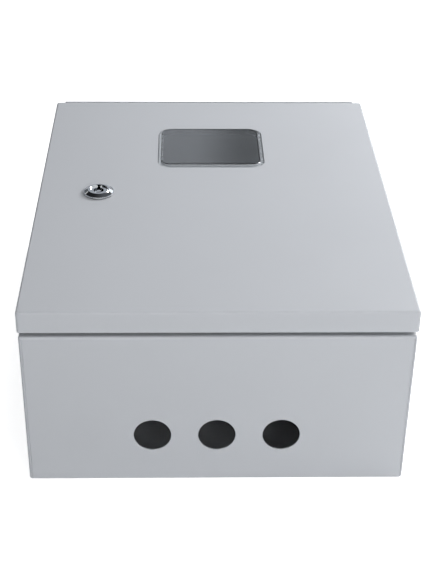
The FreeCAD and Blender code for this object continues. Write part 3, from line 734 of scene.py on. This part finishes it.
def makeNuts():
    for key, body in (("plate", "enclosure"), ("earth", "enclosure"), ("doorEarth", "door")):
        spec = nuts[key]
        z0, z1 = heights(spec["node"])
        mesh = bmesh.new()
        places = corners(spec["node"], spec["flange"]) if key == "plate" else [middle(spec["node"])]
        for centre in places:
            seat, up = (z1, -1) if body == "door" else (z0, 1)
            flangeNut(mesh, centre, seat, up, spec, z1 - z0)
        finishPiece(mesh, "turned_" + spec["node"], body, "zinc_hardware", [spec["node"]], 25)

    spec = nuts["window"]
    z0, z1 = heights(spec["node"])
    bore = spec["stud"] * nutShape["bore"] * mm
    mesh = bmesh.new()
    for centre in corners(studs["window"]["node"], studs["window"]["inset"]):
        hexNut(mesh, centre, z0, z1, spec["flats"] * mm, bore, True, False)
    finishPiece(mesh, "turned_window_nuts", "door", "zinc_hardware", [spec["node"]], 25)


makeStuds()
makeNuts()
print("studs and nuts made")


# Camera, at the photograph's viewing angle

cameraSpec = {
    "place": (-0.02722, -1.00695, 0.68896),
    "turn": (57.0534, -0.4997, -0.9938),    # degrees: tilt from straight down, roll, heading
    "lens": 78.785,                 # mm
    "sensor": 36.0,                 # mm
    "shift": (0.01713, 0.04009),    # of the picture's longer side
}


def makeCamera():
    spec = cameraSpec
    data = bpy.data.cameras.new("camera")
    data.lens = spec["lens"]
    data.sensor_width = spec["sensor"]
    data.shift_x, data.shift_y = spec["shift"]
    camera = bpy.data.objects.new("camera", data)
    camera.location = spec["place"]
    camera.rotation_euler = [math.radians(angle) for angle in spec["turn"]]
    bpy.context.collection.objects.link(camera)
    bpy.context.scene.camera = camera


# Studio: white floor and world, soft lamps, cards that only polished pieces see; places in metres

studio = {
    "floorSize": 12.0,
    "floorGap": 0.4,                # mm under the box
    "floorColour": "#D9DADB",
    "floorGlow": 0.82,              # added for the camera and reflections only
    "fillTint": "#F4F6FA",
    "cardTint": "#E6ECF6",
    "fill": {                       # soft light from the room: direction, strength
        "left": ((-1.0, 0.0, 0.0), 0.42),
        "back": ((0.0, 1.0, 0.0), 0.1),
    },
    "aim": (0.0, 0.0, 0.1),         # the point that every lamp faces
    "lamps": {
        "rightRear": {"place": (0.85, 0.54, 0.72), "size": 0.4, "watts": 11.9},
        "overhead": {"place": (0.35, -0.75, 1.9), "size": 0.6, "watts": 11.8, "mirrored": False},
        "front": {"place": (-0.2, -1.7, 0.9), "size": 1.4, "watts": 4.2},
        "lowFront": {"place": (0.5, -1.8, 0.75), "size": 0.8, "watts": 7.6, "mirrored": False},
        "rightFront": {"place": (1.2, -1.1, 0.7), "size": 0.9, "watts": 4.9, "mirrored": False},
    },
    "cards": {                      # two opposite corners of each flat card, and how bright it looks
        "darkCanopy": {"from": (-4.0, -3.0, 2.2), "to": (2.0, 2.5, 2.2), "shade": 0.02,
                       "rightShade": 0.12, "fade": (-1.2, 1.2)},
        "rearCard": {"from": (-0.2, 3.0, 0.0), "to": (0.9, 3.0, 2.2), "shade": 0.88,
                     "rightShade": 0.13, "fade": (-0.01, 0.2)},
        "paleCard": {"from": (-0.9, 3.0, 0.0), "to": (-0.2, 3.0, 2.2), "shade": 0.5},
        "rearLeftCard": {"from": (-4.0, 3.0, 0.0), "to": (-0.9, 3.0, 2.2), "shade": 0.15},
        "leftCard": {"from": (-4.0, -3.0, 0.0), "to": (-4.0, 3.0, 2.2), "shade": 0.06},
        "softbox": {"from": (0.55, 1.5, 0.15), "to": (1.35, 0.9, 1.0), "shade": 1.6},
    },
}


def backdropRay(tree):
    # 1 for rays that see the white background, from the camera, a reflection or through the pane,
    # and 0 once light has been scattered
    path = addNode(tree, "ShaderNodeLightPath")
    seen = path.outputs["Is Camera Ray"]
    for other in ("Is Glossy Ray", "Is Transmission Ray"):
        seen = addNode(tree, "ShaderNodeMath", {"operation": "MAXIMUM"},
                       {0: seen, 1: path.outputs[other]}).outputs[0]
    return addNode(tree, "ShaderNodeMath", {"operation": "SUBTRACT", "use_clamp": True},
                   {0: seen, 1: path.outputs["Diffuse Depth"]}).outputs[0]


def makeWorld():
    # White where the camera, a mirror or the pane looks at it, and dim soft fill for all else
    world = bpy.data.worlds.new("studio")
    tree = emptyTree(world)
    ray = addNode(tree, "ShaderNodeTexCoord").outputs["Generated"]
    total = None
    for direction, strength in studio["fill"].values():
        facing = addNode(tree, "ShaderNodeVectorMath", {"operation": "DOT_PRODUCT", 1: direction},
                         {0: ray})
        share = addNode(tree, "ShaderNodeMath",
                        {"operation": "MULTIPLY", "use_clamp": True, 1: strength},
                        {0: facing.outputs["Value"]}).outputs[0]
        total = share if total is None else addNode(tree, "ShaderNodeMath", {"operation": "ADD"},
                                                    {0: total, 1: share}).outputs[0]
    fill = addNode(tree, "ShaderNodeBackground", {"Color": linear(studio["fillTint"])},
                   {"Strength": total})
    white = addNode(tree, "ShaderNodeBackground", {"Color": (1.0, 1.0, 1.0, 1.0), "Strength": 1.0})
    mix = addNode(tree, "ShaderNodeMixShader", links={0: backdropRay(tree), 1: fill.outputs[0],
                                                      2: white.outputs[0]})
    addNode(tree, "ShaderNodeOutputWorld", links={"Surface": mix.outputs[0]})
    bpy.context.scene.world = world


def stageFace(name, points, material):
    # One flat face of the stage, which isn't part of the box
    mesh = bmesh.new()
    mesh.faces.new([mesh.verts.new(point) for point in points])
    data = bpy.data.meshes.new(name)
    mesh.to_mesh(data)
    mesh.free()
    data.materials.append(material)
    face = bpy.data.objects.new(name, data)
    bpy.context.collection.objects.link(face)
    return face


def makeFloor():
    # Pale paper that keeps the box's shadow, and glows to white only where it is seen
    material = bpy.data.materials.new("white paper floor")
    tree = emptyTree(material)
    paper = addNode(tree, "ShaderNodeBsdfDiffuse", {"Color": linear(studio["floorColour"])})
    glow = addNode(tree, "ShaderNodeEmission", {"Strength": studio["floorGlow"]})
    both = addNode(tree, "ShaderNodeAddShader", links={0: paper.outputs[0], 1: glow.outputs[0]})
    mix = addNode(tree, "ShaderNodeMixShader", links={0: backdropRay(tree), 1: paper.outputs[0],
                                                      2: both.outputs[0]})
    addNode(tree, "ShaderNodeOutputMaterial", links={"Surface": mix.outputs[0]})
    half = studio["floorSize"] / 2
    z = cadBox[0][2] - studio["floorGap"] * mm
    stageFace("floor", [(-half, -half, z), (half, -half, z), (half, half, z), (-half, half, z)],
              material)


def makeCards():
    # The room that chrome and clear plastic mirror, dim but for one softbox; they light nothing else
    for name, spec in studio["cards"].items():
        material = bpy.data.materials.new(name)
        tree = emptyTree(material)
        glow = addNode(tree, "ShaderNodeEmission",
                       {"Color": linear(studio["cardTint"]), "Strength": spec["shade"]})
        if "fade" in spec:
            across = addNode(tree, "ShaderNodeSeparateXYZ",
                             links={0: addNode(tree, "ShaderNodeTexCoord").outputs["Object"]})
            shade = addNode(tree, "ShaderNodeMapRange",
                            {"interpolation_type": "SMOOTHSTEP",
                             "From Min": spec["fade"][0], "From Max": spec["fade"][1],
                             "To Min": spec["shade"], "To Max": spec["rightShade"]},
                            {"Value": across.outputs["X"]})
            tree.links.new(shade.outputs["Result"], glow.inputs["Strength"])
        addNode(tree, "ShaderNodeOutputMaterial", links={"Surface": glow.outputs[0]})
        (x0, y0, z0), (x1, y1, z1) = spec["from"], spec["to"]
        if z0 == z1:
            points = [(x0, y0, z0), (x1, y0, z0), (x1, y1, z0), (x0, y1, z0)]
        else:
            points = [(x0, y0, z0), (x1, y1, z0), (x1, y1, z1), (x0, y0, z1)]
        card = stageFace(name, points, material)
        card.visible_camera = False
        card.visible_diffuse = False
        card.visible_shadow = False
        card.visible_transmission = False
        card.visible_volume_scatter = False


def makeLamps():
    for name, spec in studio["lamps"].items():
        data = bpy.data.lights.new(name, "AREA")
        data.shape = "DISK"
        data.size = spec["size"]
        data.energy = spec["watts"]
        lamp = bpy.data.objects.new(name, data)
        lamp.location = spec["place"]
        aim = Vector(studio["aim"]) - Vector(spec["place"])
        lamp.rotation_euler = aim.to_track_quat("-Z", "Y").to_euler()
        # chrome would show the lamps that aren't mirrored as hard spots
        lamp.visible_glossy = spec.get("mirrored", True)
        bpy.context.collection.objects.link(lamp)


makeCamera()
makeWorld()
makeFloor()
makeCards()
makeLamps()
bpy.context.scene.view_settings.view_transform = "Standard"
print("studio ready")
